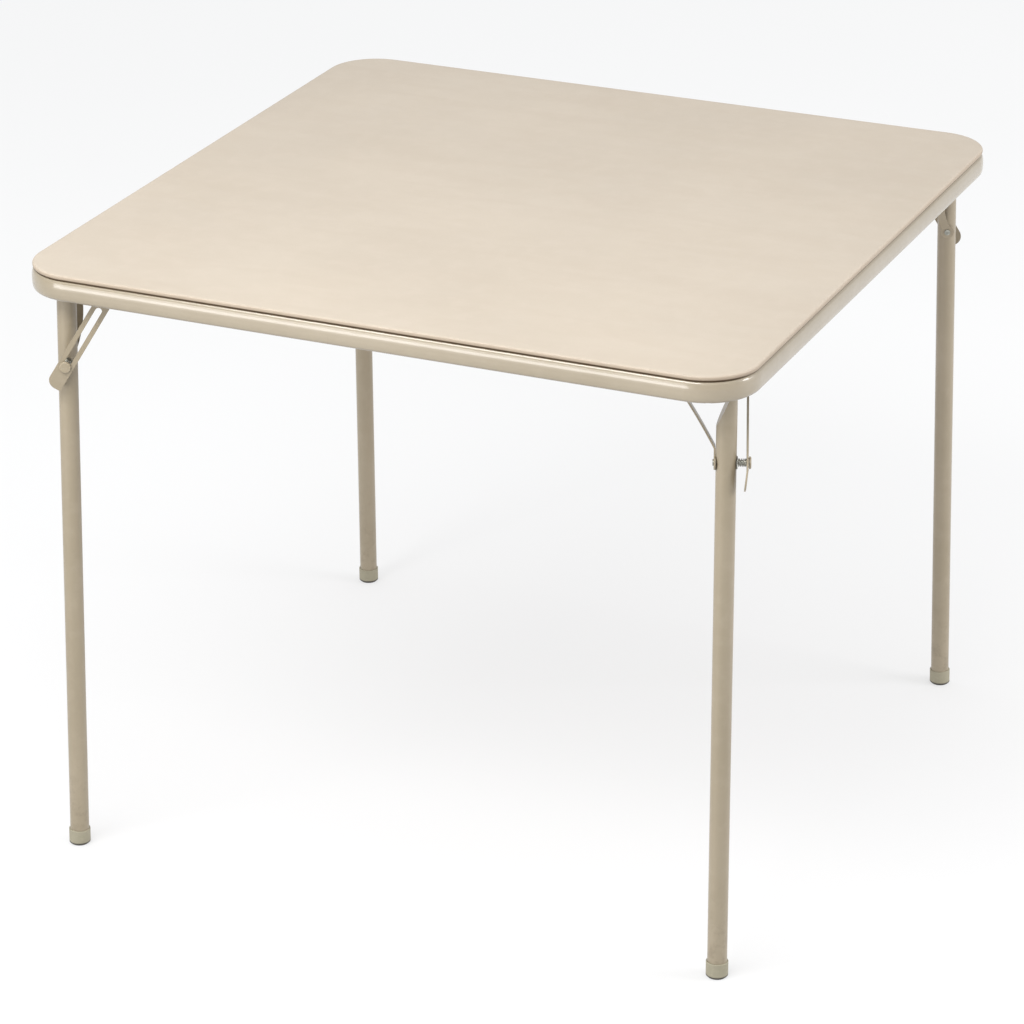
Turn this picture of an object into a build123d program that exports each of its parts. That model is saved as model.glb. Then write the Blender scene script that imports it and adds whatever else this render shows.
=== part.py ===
from build123d import *
from math import cos, pi, radians, sin, sqrt, tan
import os

os.makedirs("parts", exist_ok=True)

# Folding card table. Millimetres, +Z up, origin on the floor under the middle of the top.
# Corner 1 is at -X -Y and the others follow anticlockwise, each a quarter turn further.

# Whole table
top_side = 864.0
table_height = 724.0
corner_radius = 62.0
corner_count = 4
quarter_turn = 90.0
overrun = 5.0
seat_gap = 0.05

# Frame: one tube bent into a ring, its outer face crowned and its edges rounded
frame_tall = 24.5
frame_deep = 15.0
frame_wall = 1.0
frame_shoulder_in = 2.0
frame_shoulder_tall = 8.0
frame_shoulder_round = 4.5
frame_heel_in = 1.4
frame_heel_tall = 7.0
frame_heel_round = 4.5
frame_crown_round = 22.0
frame_inner_corner = 2.0

# Panel: hardboard with thin foam, wrapped in vinyl
panel_inset = 1.2
cover_thick = 0.8
board_thick = 3.4
foam_thick = 2.0
cover_roll = 2.5
cover_flap = 10.0

# Legs
leg_radius = 11.1
leg_wall = 1.2
leg_lean = 1.375
fold_heading = 22.0
pivot_far_inset = 50.7
pivot_near_inset = 32.9
pivot_above_frame = 3.0
press_flat = 2.0
press_start = 11.1
press_angle = 23.0

# Foot caps
cap_radius = 12.5
cap_height = 19.0
cap_floor = 4.0
cap_fit = 0.1
cap_top_round = 1.0
cap_sole_chamfer = 2.0

# Pivots
rivet_radius = 3.0
rivet_running = 0.05
rivet_head_radius = 5.5
rivet_head_tall = 2.0
rivet_head_round = 1.2
rivet_round_share = 0.75
rivet_tail_tall_share = 0.5
rivet_tail_radius_share = 0.8
pivot_gap = 0.3
strap_rivet_radius = 2.5
strap_rivet_head_radius = 4.5
strap_rivet_head_tall = 1.5

# Lock pin, square to the leg, with its washer and spring
pin_drop = 84.0
pin_radius = 2.6
pin_hole_gap = 0.05
pin_shoulder_radius = 3.5
pin_shoulder_lead = 0.5
pin_head_radius = 6.75
pin_head_tall = 2.2
pin_head_round = 1.5
pin_tail_radius = 3.5
pin_tail_tall = 1.2
pin_dimple_radius = 1.0
pin_dimple_deep = 0.8
pin_washer_radius = 7.0
pin_washer_thick = 0.95
head_washer_radius = 5.5
head_washer_thick = 0.7
head_washer_running = 0.05

# Spring on the pin
spring_wire = 0.9
spring_coil_radius = 4.05
spring_turns = 3.5
spring_lead_bend = 1.0
spring_points_a_turn = 4
spring_samples = 400
spring_apart_share = 0.6
flat_limit = 1e-9

# Slotted lock brace
brace_thick = 2.0
brace_width = 18.5
brace_inner_n = 21.5
brace_angle = 31.0
brace_length = 94.0
slot_top_gap = 16.0
slot_travel = brace_length - slot_top_gap
slot_width = 7.6
tab_length = 30.0
tab_bend_start = 9.0
tab_bend_in = 2.5
tab_outer_round = 11.0
tab_inner_round = 3.0

# Rivet at the top of the brace
brace_rivet_radius = 2.5
brace_rivet_running = 0.1
brace_rivet_head_radius = 4.5
brace_rivet_head_tall = 1.6
brace_rivet_head_round = 0.9
brace_rivet_collar_radius = 4.0
brace_rivet_side_gap = 0.3
ear_gap = 1.2
open_pivot_gap = 0.25

# Stabilizer strap
strap_thick = 2.0
strap_width = 10.0
strap_bow = 9.5
strap_pin_eye = 8.0
strap_top_eye = 9.5
strap_low_bend = 68.4
strap_high_bend = 11.0
strap_angle = 29.0
strap_bend_radius = 5.0

# Corner brackets, pressed from sheet
sheet_thick = 2.0
frame_gap = 0.2
bracket_near_reach = 16.0
bracket_far_reach = 62.0
flange_radius = 10.0
flange_foot = 10.0
ear_radius = 8.0
ear_lobe_radius = 7.0
ear_lobe_back = 20.4
ear_lobe_up = 6.4
ear_foot_start = 12.0
ear_foot_end = 60.0
ear_tail_radius = 3.5
ear_tail_tall = 1.0

# Screws
screw_radius = 1.75
screw_head_radius = 4.0
screw_head_tall = 2.2
screw_head_round = 1.2
screw_bite = 2.8
recess_radius = 1.6
recess_deep = 1.1
recess_bar = 0.8
bracket_screw_near_u = 8.0
bracket_screw_far_u = 44.0
bracket_screw_side_n = 28.0
bracket_screw_ear_u = 30.0
bracket_screw_ear_n = 8.0
bracket_screw_places = (
    (bracket_screw_near_u, -bracket_screw_side_n),
    (bracket_screw_far_u, -bracket_screw_side_n),
    (bracket_screw_ear_u, bracket_screw_ear_n),
)

# Clips between frame and panel
clip_spacing = 360.0
clip_count = 2
clip_width = 22.0
clip_reach = 16.0
clip_drop = 12.0
clip_thick = 1.6
clip_bend = 1.5
clip_screw_reach = 10.0

# Heights and places that follow from the sizes
frame_top = table_height - cover_thick - foam_thick - board_thick - cover_thick
frame_bottom = frame_top - frame_tall
board_bottom = frame_top + cover_thick
board_top = board_bottom + board_thick
foam_top = board_top + foam_thick
pivot_height = frame_bottom + pivot_above_frame
leg_reach = pivot_height / cos(radians(leg_lean))
leg_length = leg_reach - cap_floor
sheet_underside = board_bottom - sheet_thick

# Stations along the lock pin, counted outwards from the leg's axis
brace_outer_n = brace_inner_n + brace_thick
head_washer_inner_n = brace_outer_n + seat_gap
head_washer_outer_n = head_washer_inner_n + head_washer_thick
pin_head_n = head_washer_outer_n + seat_gap
pin_shoulder_n = brace_inner_n - pin_shoulder_lead
pin_washer_inner_n = leg_radius + seat_gap
pin_washer_outer_n = pin_washer_inner_n + pin_washer_thick
ear_outer_n = brace_inner_n - ear_gap
ear_inner_n = ear_outer_n - sheet_thick
leg_flange_outer_n = press_flat - pivot_gap
leg_flange_inner_n = leg_flange_outer_n - sheet_thick

# Stations of the strap on the other side of the leg
strap_low_n = -leg_radius - seat_gap
strap_high_n = strap_low_n - (strap_low_bend - strap_high_bend) * tan(radians(strap_angle))
strap_flange_n = strap_high_n - strap_thick - pivot_gap

# The brace's top pivot, from the leg's pivot, in the plane that the leg folds in
pin_u = -pin_drop * sin(radians(leg_lean))
pin_v = -pin_drop * cos(radians(leg_lean))
brace_top_u = pin_u + brace_length * sin(radians(brace_angle))
brace_top_v = pin_v + brace_length * cos(radians(brace_angle))


# Planes of one corner: x the way the leg folds, y up, z out along the lock pin
def corner_plane(corner):
    turn = quarter_turn * corner
    fold = Vector(1, 0, 0).rotate(Axis.Z, fold_heading + turn)
    pivot = Vector(pivot_far_inset - top_side / 2, pivot_near_inset - top_side / 2, pivot_height)
    return Plane(origin=pivot.rotate(Axis.Z, turn), x_dir=fold, z_dir=fold.cross(Vector(0, 0, 1)))


# A plane turned about its own z, through its origin or a place on it
def turned(plane, angle, place=(0, 0)):
    origin = plane.from_local_coords(Vector(place[0], place[1], 0))
    x_way = plane.x_dir.rotate(Axis((0, 0, 0), plane.z_dir), angle)
    return Plane(origin=origin, x_dir=x_way, z_dir=plane.z_dir)


# The same plane leaning with the leg, so that y runs up the leg
def leg_plane(corner):
    return turned(corner_plane(corner), -leg_lean)


# Square to the leg: x out along the lock pin, z up the leg
def leg_section(corner):
    lean = leg_plane(corner)
    return Plane(origin=lean.origin, x_dir=lean.z_dir, z_dir=lean.y_dir)


# Seen along the fold: x out along the lock pin, y up
def side_plane(plane):
    return Plane(origin=plane.origin, x_dir=plane.z_dir, z_dir=-plane.x_dir)


# The brace's own plane: origin at its top pivot, y up along its slot
def brace_plane(corner):
    return turned(corner_plane(corner), -brace_angle, (brace_top_u, brace_top_v))


# Looking down on one corner: x the way the leg folds, y away from the lock pin
def plan_plane(corner, height):
    base = corner_plane(corner)
    place = Vector(base.origin.X, base.origin.Y, height)
    return Plane(origin=place, x_dir=base.x_dir, z_dir=Vector(0, 0, 1))


# A round bar along a plane's z, between two stations
def bar(plane, place, low, high, radius, mode=Mode.ADD):
    with BuildSketch(plane.offset(low)) as section:
        with Locations(place):
            Circle(radius)
    extrude(section.sketch, amount=high - low, mode=mode)


def save(piece, name):
    piece.label = name
    export_step(piece, f"parts/{name}.step")


# Frame
def frame_outline(inset, height):
    half = top_side / 2 - inset
    with BuildLine(Plane.XY.offset(height)) as outline:
        FilletPolyline(
            (-half, -half), (half, -half), (half, half), (-half, half),
            radius=corner_radius - inset, close=True,
        )
    return outline.line


def make_frame():
    path = frame_outline(0, frame_bottom + frame_tall / 2)
    along = path % 0
    section_plane = Plane(origin=path @ 0, x_dir=Vector(0, 0, 1).cross(along), z_dir=along)
    half = frame_tall / 2
    with BuildPart() as frame:
        with BuildSketch(section_plane):
            with BuildLine():
                FilletPolyline(
                    (frame_deep, half), (frame_shoulder_in, half),
                    (0, half - frame_shoulder_tall), (0, frame_heel_tall - half),
                    (frame_heel_in, -half), (frame_deep, -half),
                    radius=(
                        frame_inner_corner, frame_shoulder_round, frame_crown_round,
                        frame_crown_round, frame_heel_round, frame_inner_corner,
                    ),
                    close=True,
                )
            make_face()
            offset(amount=-frame_wall, mode=Mode.SUBTRACT)
        sweep(path=path)
    save(frame.part, "rim_frame")


# Panel
def panel_block(inset, low, high, mode=Mode.ADD):
    side = top_side - 2 * inset
    with BuildSketch(Plane.XY.offset(low)) as outline:
        RectangleRounded(side, side, corner_radius - inset)
    extrude(outline.sketch, amount=high - low, mode=mode)


def make_panel():
    core_inset = panel_inset + cover_thick
    core_roll = cover_roll - cover_thick
    with BuildPart() as core:
        panel_block(core_inset, board_bottom, foam_top)
        rims = core.edges().group_by(Axis.Z)
        fillet(rims[0] + rims[-1], core_roll)
    with BuildPart() as cover:
        panel_block(panel_inset, frame_top, table_height)
        rims = cover.edges().group_by(Axis.Z)
        fillet(rims[0] + rims[-1], cover_roll)
        add(core.part, mode=Mode.SUBTRACT)
        panel_block(core_inset + cover_flap, frame_top, board_bottom, Mode.SUBTRACT)
    save(cover.part, "top_cover")
    with BuildPart() as board:
        add(core.part)
        split(bisect_by=Plane.XY.offset(board_top), keep=Keep.BOTTOM)
        for corner in range(corner_count):
            for place in bracket_screw_places:
                bar(plan_plane(corner, board_bottom), flipped(place), 0, screw_bite + seat_gap,
                    screw_radius + seat_gap, Mode.SUBTRACT)
        for plane in clip_planes():
            bar(plane, (0, clip_screw_reach), 0, screw_bite + seat_gap,
                screw_radius + seat_gap, Mode.SUBTRACT)
    save(board.part, "top_board")
    with BuildPart() as foam:
        add(core.part)
        split(bisect_by=Plane.XY.offset(board_top), keep=Keep.TOP)
    save(foam.part, "foam_pad")


# A place given as fold distance and pin-side distance, on a plan plane
def flipped(place):
    return (place[0], -place[1])


# Screws: pan heads with a cross recess, driven upwards
def screw(plane, place, sheet):
    with BuildPart() as one:
        bar(plane, place, -sheet, screw_bite, screw_radius)
        bar(plane, place, -sheet - screw_head_tall, -sheet, screw_head_radius)
        fillet(one.faces().sort_by(Axis.Z)[0].edges(), screw_head_round)
        with BuildSketch(plane.offset(-sheet - screw_head_tall)) as recess:
            with Locations(place):
                Rectangle(2 * recess_radius, recess_bar)
                Rectangle(recess_bar, 2 * recess_radius)
        extrude(recess.sketch, amount=recess_deep, mode=Mode.SUBTRACT)
    return one.part


# Clip planes lie on the board's underside: y points inwards from the frame's inner wall
def clip_planes():
    wall = top_side / 2 - frame_deep
    planes = []
    for side in range(corner_count):
        turn = quarter_turn * side
        for step in range(clip_count):
            along = (step - (clip_count - 1) / 2) * clip_spacing
            place = Vector(along, -wall, board_bottom).rotate(Axis.Z, turn)
            x_way = Vector(1, 0, 0).rotate(Axis.Z, turn)
            planes.append(Plane(origin=place, x_dir=x_way, z_dir=Vector(0, 0, 1)))
    return planes


def clip(plane):
    across = Plane(origin=plane.origin, x_dir=plane.y_dir, z_dir=plane.x_dir)
    with BuildPart() as one:
        with BuildSketch(across):
            with BuildLine():
                Polyline(
                    (seat_gap, 0), (clip_reach, 0), (clip_reach, -clip_thick),
                    (seat_gap + clip_thick, -clip_thick), (seat_gap + clip_thick, -clip_drop),
                    (seat_gap, -clip_drop), close=True,
                )
            make_face()
        extrude(amount=clip_width / 2, both=True)
        bends = one.edges().filter_by(lambda edge: abs(edge.length - clip_width) < seat_gap)
        heel = bends.sort_by_distance(across.from_local_coords(Vector(seat_gap, 0, 0)))[0]
        fillet(heel, clip_bend)
        bar(plane, (0, clip_screw_reach), -clip_thick, 0, screw_radius + seat_gap, Mode.SUBTRACT)
    return one.part


def make_fasteners():
    clips = []
    clip_screws = []
    for plane in clip_planes():
        clips.append(clip(plane))
        clip_screws.append(screw(plane, (0, clip_screw_reach), clip_thick))
    save(Compound(children=clips), "panel_clips")
    save(Compound(children=clip_screws), "panel_screws")
    bracket_screws = []
    for corner in range(corner_count):
        for place in bracket_screw_places:
            plane = plan_plane(corner, board_bottom)
            bracket_screws.append(screw(plane, flipped(place), sheet_thick))
    save(Compound(children=bracket_screws), "bracket_screws")


# Corner bracket: a plate under the board with three ears bent down
def hanging_ear(plane, low_n, circles, foot):
    foot_level = board_bottom - sheet_thick / 2 - pivot_height
    with BuildSketch(plane.offset(low_n)) as ear:
        for place, radius in circles:
            with Locations(place):
                Circle(radius)
        with Locations(((foot[0] + foot[1]) / 2, foot_level)):
            Rectangle(foot[1] - foot[0], sheet_thick)
        make_hull()
    extrude(ear.sketch, amount=sheet_thick)


def make_bracket(corner):
    plane = corner_plane(corner)
    low_n = strap_flange_n - sheet_thick
    with BuildPart() as bracket:
        with BuildSketch(plan_plane(corner, sheet_underside)) as plate:
            middle = ((bracket_far_reach - bracket_near_reach) / 2, -(low_n + ear_outer_n) / 2)
            with Locations(middle):
                Rectangle(bracket_far_reach + bracket_near_reach, ear_outer_n - low_n)
        extrude(plate.sketch, amount=sheet_thick)
        panel_block(frame_deep + frame_gap, sheet_underside, board_bottom, Mode.INTERSECT)
        hanging_ear(plane, leg_flange_inner_n, (((0, 0), flange_radius),), (-flange_foot, flange_foot))
        hanging_ear(plane, low_n, (((0, 0), flange_radius),), (-flange_foot, flange_foot))
        brace_circles = (
            ((brace_top_u, brace_top_v), ear_radius),
            ((brace_top_u - ear_lobe_back, brace_top_v + ear_lobe_up), ear_lobe_radius),
        )
        hanging_ear(plane, ear_inner_n, brace_circles, (ear_foot_start, ear_foot_end))
        bar(plane, (brace_top_u, brace_top_v), ear_inner_n - ear_tail_tall, ear_inner_n, ear_tail_radius)
        bar(plane, (0, 0), leg_flange_inner_n, leg_flange_outer_n, rivet_radius + seat_gap, Mode.SUBTRACT)
        bar(plane, (0, 0), low_n, strap_flange_n, strap_rivet_radius + seat_gap, Mode.SUBTRACT)
        for place in bracket_screw_places:
            bar(plan_plane(corner, sheet_underside), flipped(place), 0, sheet_thick,
                screw_radius + seat_gap, Mode.SUBTRACT)
    save(bracket.part, f"corner_bracket_{corner + 1}")


# A rivet between two stations: round head at the high end, flat set tail at the low end
def rivet(plane, place, low, high, radius, head_radius, head_tall):
    with BuildPart() as one:
        bar(plane, place, low, high, radius)
        bar(plane, place, high, high + head_tall, head_radius)
        outer = one.faces().sort_by(Axis(plane.origin, plane.z_dir))[-1]
        fillet(outer.edges(), min(rivet_head_round, head_tall * rivet_round_share))
        tail_tall = head_tall * rivet_tail_tall_share
        bar(plane, place, low - tail_tall, low, head_radius * rivet_tail_radius_share)
    return one.part


def make_pivot_rivets():
    leg_rivets = []
    strap_rivets = []
    for corner in range(corner_count):
        plane = corner_plane(corner)
        leg_rivets.append(rivet(
            plane, (0, 0), leg_flange_inner_n, leg_radius + pivot_gap,
            rivet_radius, rivet_head_radius, rivet_head_tall,
        ))
        strap_rivets.append(rivet(
            plane, (0, 0), strap_flange_n - sheet_thick, strap_high_n + pivot_gap,
            strap_rivet_radius, strap_rivet_head_radius, strap_rivet_head_tall,
        ))
    save(Compound(children=leg_rivets), "leg_pivot_rivets")
    save(Compound(children=strap_rivets), "strap_pivot_rivets")


# Leg: a round tube whose top is pressed in on the side away from the lock pin
def leg_solid(corner, inside, extra):
    section = leg_section(corner)
    radius = leg_radius - inside
    flat = press_flat + inside
    start = press_start + inside * tan(radians(press_angle / 2))
    end = start + (flat + leg_radius + overrun) / tan(radians(press_angle))
    high = leg_radius + extra
    with BuildPart() as solid:
        bar(section, (0, 0), -leg_length - extra, high, radius)
        with BuildSketch(side_plane(leg_plane(corner))) as press:
            with BuildLine():
                Polyline(
                    (flat, high + overrun), (flat, -start), (-leg_radius - overrun, -end),
                    (-leg_radius - overrun, high + overrun), close=True,
                )
            make_face()
        extrude(press.sketch, amount=leg_radius + overrun, both=True, mode=Mode.SUBTRACT)
    return solid.part


def make_leg(corner):
    lean = leg_plane(corner)
    with BuildPart() as leg:
        add(leg_solid(corner, 0, 0))
        add(leg_solid(corner, leg_wall, overrun), mode=Mode.SUBTRACT)
        with BuildSketch(lean.offset(-leg_radius - overrun)) as trim:
            with Locations((0, leg_radius)):
                Rectangle(2 * (leg_radius + overrun), 2 * leg_radius)
            Circle(leg_radius, mode=Mode.SUBTRACT)
        extrude(trim.sketch, amount=2 * (leg_radius + overrun), mode=Mode.SUBTRACT)
        bar(lean, (0, 0), 0, leg_radius + overrun, rivet_radius + rivet_running, Mode.SUBTRACT)
        bar(lean, (0, -pin_drop), -leg_radius - overrun, leg_radius + overrun,
            pin_radius + pin_hole_gap, Mode.SUBTRACT)
    save(leg.part, f"leg_tube_{corner + 1}")


# Foot cap: a moulded cup over the tube's end, its sole cut level with the floor
def make_foot(corner):
    section = leg_section(corner)
    with BuildPart() as foot:
        bar(section, (0, 0), -leg_reach - overrun, -leg_reach + cap_height, cap_radius)
        upper = foot.faces().sort_by(Axis.Z)[-1]
        fillet(upper.edges(), cap_top_round)
        bar(section, (0, 0), -leg_length, 0, leg_radius + cap_fit, Mode.SUBTRACT)
        split(bisect_by=Plane.XY, keep=Keep.TOP)
        sole = foot.faces().sort_by(Axis.Z)[0]
        chamfer(sole.edges(), cap_sole_chamfer)
    save(foot.part, f"foot_cap_{corner + 1}")


# Stabilizer strap: from the pin, flat on the tube, then out to an eye on the pivot's axis
def make_strap(corner):
    lean = leg_plane(corner)
    low_end = -pin_drop - strap_pin_eye - overrun
    high_end = strap_top_eye + overrun
    drop = strap_thick * tan(radians(strap_angle / 2))
    with BuildPart() as strap:
        with BuildSketch(side_plane(lean)) as profile:
            with BuildLine():
                FilletPolyline(
                    (strap_low_n, low_end), (strap_low_n, -strap_low_bend),
                    (strap_high_n, -strap_high_bend), (strap_high_n, high_end),
                    radius=(strap_bend_radius + strap_thick, strap_bend_radius),
                )
                FilletPolyline(
                    (strap_low_n - strap_thick, low_end),
                    (strap_low_n - strap_thick, -strap_low_bend - drop),
                    (strap_high_n - strap_thick, -strap_high_bend - drop),
                    (strap_high_n - strap_thick, high_end),
                    radius=(strap_bend_radius, strap_bend_radius + strap_thick),
                )
                Line((strap_low_n, low_end), (strap_low_n - strap_thick, low_end))
                Line((strap_high_n, high_end), (strap_high_n - strap_thick, high_end))
            make_face()
        extrude(profile.sketch, amount=strap_bow + strap_width + overrun, both=True)
        with BuildSketch(lean.offset(strap_high_n - overrun)) as outline:
            with BuildLine(mode=Mode.PRIVATE) as bow:
                ThreePointArc((0, -pin_drop), (strap_bow, -pin_drop / 2), (0, 0))
            SlotArc(bow.edge(), strap_width)
            Circle(strap_top_eye)
            with Locations((0, -pin_drop)):
                Circle(strap_pin_eye)
            Circle(strap_rivet_radius + rivet_running, mode=Mode.SUBTRACT)
            with Locations((0, -pin_drop)):
                Circle(pin_radius + pin_hole_gap, mode=Mode.SUBTRACT)
        reach = strap_low_n - strap_high_n + 2 * overrun
        extrude(outline.sketch, amount=reach, mode=Mode.INTERSECT)
    save(strap.part, f"stabilizer_strap_{corner + 1}")


# Lock pin: set tail on the strap, plain shank through the tube, shoulder in the slot, head
def make_pin(corner):
    lean = leg_plane(corner)
    place = (0, -pin_drop)
    tail_n = strap_low_n - strap_thick - seat_gap
    with BuildPart() as pin:
        bar(lean, place, tail_n, pin_shoulder_n, pin_radius)
        bar(lean, place, pin_shoulder_n, pin_head_n, pin_shoulder_radius)
        bar(lean, place, pin_head_n, pin_head_n + pin_head_tall, pin_head_radius)
        outer = pin.faces().sort_by(Axis(lean.origin, lean.z_dir))[-1]
        fillet(outer.edges(), pin_head_round)
        bar(lean, place, tail_n - pin_tail_tall, tail_n, pin_tail_radius)
        bar(lean, place, tail_n - pin_tail_tall, tail_n - pin_tail_tall + pin_dimple_deep,
            pin_dimple_radius, Mode.SUBTRACT)
    save(pin.part, f"lock_pin_{corner + 1}")


def washer(plane, place, low, high, radius, hole, name):
    with BuildPart() as ring:
        bar(plane, place, low, high, radius)
        bar(plane, place, low, high, hole, Mode.SUBTRACT)
    save(ring.part, name)


def make_washers(corner):
    place = (0, -pin_drop)
    washer(
        leg_plane(corner), place, pin_washer_inner_n, pin_washer_outer_n,
        pin_washer_radius, pin_radius + pin_hole_gap, f"pin_washer_{corner + 1}",
    )
    washer(
        leg_plane(corner), place, head_washer_inner_n, head_washer_outer_n,
        head_washer_radius, pin_shoulder_radius + head_washer_running, f"head_washer_{corner + 1}",
    )


# Two arcs in space that leave one point and meet the next with the given directions
def two_arcs(start, start_way, end, end_way):
    chord = end - start
    ways = start_way + end_way
    a = 2 * (1 - start_way.dot(end_way))
    b = 2 * chord.dot(ways)
    c = -chord.dot(chord)
    if abs(a) < flat_limit:
        reach = -c / b
    else:
        reach = (-b + sqrt(b * b - 4 * a * c)) / (2 * a)
    first = start + start_way * reach
    last = end - end_way * reach
    middle = (first + last) * 0.5
    TangentArc(start, middle, tangent=start_way)
    TangentArc(middle, end, tangent=last - first)


# Spring: an open coil round the pin, its ends turned square to the washer and the brace
def make_spring(corner):
    lean = leg_plane(corner)
    low = pin_washer_outer_n + seat_gap
    high = brace_inner_n - seat_gap
    steps = round(spring_turns * spring_points_a_turn)
    lead = spring_wire + spring_lead_bend
    rise = high - low - 2 * lead
    slope = rise / (spring_turns * 2 * pi * spring_coil_radius)
    level = 1 / sqrt(1 + slope * slope)

    def placed(point):
        return lean.from_local_coords(point - Vector(0, pin_drop, 0))

    def aimed(way):
        return lean.from_local_coords(way) - lean.origin

    def coil_angle(step):
        return 2 * pi * step / spring_points_a_turn

    def coil_point(step):
        angle = coil_angle(step)
        height = low + lead + rise * step / steps
        return Vector(spring_coil_radius * cos(angle), spring_coil_radius * sin(angle), height)

    def coil_way(step):
        angle = coil_angle(step)
        return Vector(-sin(angle), cos(angle), slope) * level

    def flat_way(step):
        angle = coil_angle(step)
        return Vector(-sin(angle), cos(angle), 0)

    back = spring_lead_bend * (1 - slope * level)
    up = spring_lead_bend * level
    foot = coil_point(0) - flat_way(0) * back - Vector(0, 0, up)
    head = coil_point(steps) + flat_way(steps) * back + Vector(0, 0, up)
    with BuildPart() as spring:
        with BuildLine() as wire:
            Line(placed(Vector(foot.X, foot.Y, low)), placed(foot))
            TangentArc(placed(foot), placed(coil_point(0)), tangent=lean.z_dir)
            for step in range(steps):
                two_arcs(
                    placed(coil_point(step)), aimed(coil_way(step)),
                    placed(coil_point(step + 1)), aimed(coil_way(step + 1)),
                )
            TangentArc(placed(coil_point(steps)), placed(head), tangent=aimed(coil_way(steps)))
            Line(placed(head), placed(Vector(head.X, head.Y, high)))
        path = wire.wire()
        with BuildSketch(Plane(origin=path @ 0, x_dir=lean.x_dir, z_dir=lean.z_dir)):
            Circle(spring_wire / 2)
        sweep(path=path)
    if corner == 0:
        report_spring(path)
    save(spring.part, f"lock_spring_{corner + 1}")


# Least gap between turns, measured on points along the wire
def report_spring(line):
    points = [line @ (index / spring_samples) for index in range(spring_samples + 1)]
    apart = round(spring_samples * spring_apart_share / spring_turns)
    least = min(
        (points[i] - points[j]).length
        for i in range(spring_samples + 1)
        for j in range(i + apart, spring_samples + 1)
    )
    print("spring: least gap between turns", round(least - spring_wire, 3), "mm")


# Lock brace: slotted flat bar with a thumb tab bent in towards the leg
def make_brace(corner):
    plane = brace_plane(corner)
    end = -brace_length - tab_length
    bend = -brace_length - tab_bend_start
    half = brace_width / 2
    skew = tab_bend_in / (tab_length - tab_bend_start)
    drop = brace_thick * (sqrt(1 + skew * skew) - 1) / skew
    low_in = (brace_inner_n - tab_bend_in - skew * overrun, end - overrun)
    low_out = (low_in[0] + brace_thick * sqrt(1 + skew * skew), end - overrun)
    with BuildPart() as brace:
        with BuildSketch(side_plane(plane)) as profile:
            with BuildLine():
                Polyline(
                    low_in, (brace_inner_n, bend), (brace_inner_n, half + overrun),
                    (brace_outer_n, half + overrun), (brace_outer_n, bend - drop), low_out,
                    close=True,
                )
            make_face()
        extrude(profile.sketch, amount=half + overrun, both=True)
        with BuildSketch(plane.offset(brace_inner_n - tab_bend_in - overrun)) as outline:
            with BuildLine():
                FilletPolyline(
                    (half, 0), (half, end), (-half, end), (-half, 0),
                    radius=(tab_inner_round, tab_outer_round),
                )
                Line((-half, 0), (half, 0))
            make_face()
            Circle(half)
            with Locations((0, slot_travel / 2 - brace_length)):
                SlotCenterToCenter(slot_travel, slot_width, rotation=quarter_turn, mode=Mode.SUBTRACT)
            Circle(brace_rivet_radius + brace_rivet_running, mode=Mode.SUBTRACT)
        extrude(outline.sketch, amount=brace_thick + tab_bend_in + 2 * overrun, mode=Mode.INTERSECT)
    save(brace.part, f"lock_brace_{corner + 1}")


# Shouldered rivet that the brace turns and tips on
def make_brace_rivet(corner):
    plane = brace_plane(corner)
    low = ear_outer_n + open_pivot_gap
    high = brace_outer_n + brace_rivet_side_gap
    with BuildPart() as one:
        bar(plane, (0, 0), low, high, brace_rivet_radius)
        bar(plane, (0, 0), low, brace_inner_n - brace_rivet_side_gap, brace_rivet_collar_radius)
        bar(plane, (0, 0), high, high + brace_rivet_head_tall, brace_rivet_head_radius)
        outer = one.faces().sort_by(Axis(plane.origin, plane.z_dir))[-1]
        fillet(outer.edges(), brace_rivet_head_round)
    save(one.part, f"brace_rivet_{corner + 1}")


make_frame()
make_panel()
make_fasteners()
make_pivot_rivets()
for corner_index in range(corner_count):
    make_bracket(corner_index)
    make_leg(corner_index)
    make_foot(corner_index)
    make_strap(corner_index)
    make_pin(corner_index)
    make_washers(corner_index)
    make_spring(corner_index)
    make_brace(corner_index)
    make_brace_rivet(corner_index)
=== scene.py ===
import math

import bpy
from mathutils import Matrix, Vector, noise


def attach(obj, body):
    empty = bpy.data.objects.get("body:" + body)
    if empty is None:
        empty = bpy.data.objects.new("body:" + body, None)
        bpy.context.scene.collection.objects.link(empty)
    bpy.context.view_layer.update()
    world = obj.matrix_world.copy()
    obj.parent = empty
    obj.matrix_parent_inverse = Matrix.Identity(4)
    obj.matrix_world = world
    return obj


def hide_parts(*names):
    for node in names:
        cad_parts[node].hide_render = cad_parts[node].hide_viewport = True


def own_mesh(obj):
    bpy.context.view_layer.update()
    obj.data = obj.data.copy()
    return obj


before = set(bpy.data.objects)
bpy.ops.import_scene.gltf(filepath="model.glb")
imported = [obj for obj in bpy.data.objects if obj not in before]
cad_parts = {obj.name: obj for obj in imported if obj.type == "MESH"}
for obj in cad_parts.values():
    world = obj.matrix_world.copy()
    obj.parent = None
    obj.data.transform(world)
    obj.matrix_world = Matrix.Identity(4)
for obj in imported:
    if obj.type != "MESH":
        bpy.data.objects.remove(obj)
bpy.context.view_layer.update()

# Lengths are in millimetres unless a comment says metres, and MM turns them into metres
MM = 0.001
QUARTER_TURN = math.radians(90.0)

# Whole table, as in the CAD part
CORNERS = 4
TOP_SIDE = 864.0
FRAME_TOP = 717.0
FRAME_TALL = 24.5
FOLD_HEADING = math.radians(22.0)
LEG_LEAN = math.radians(1.375)
PIVOT_FAR_INSET = 50.7
PIVOT_NEAR_INSET = 32.9
PIVOT_HEIGHT = 695.5

# The lock pin: how far it lies below the leg's pivot, and how far from the leg's axis its head starts
PIN_DROP = 84.0
PIN_HEAD_STATION = 24.2

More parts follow.
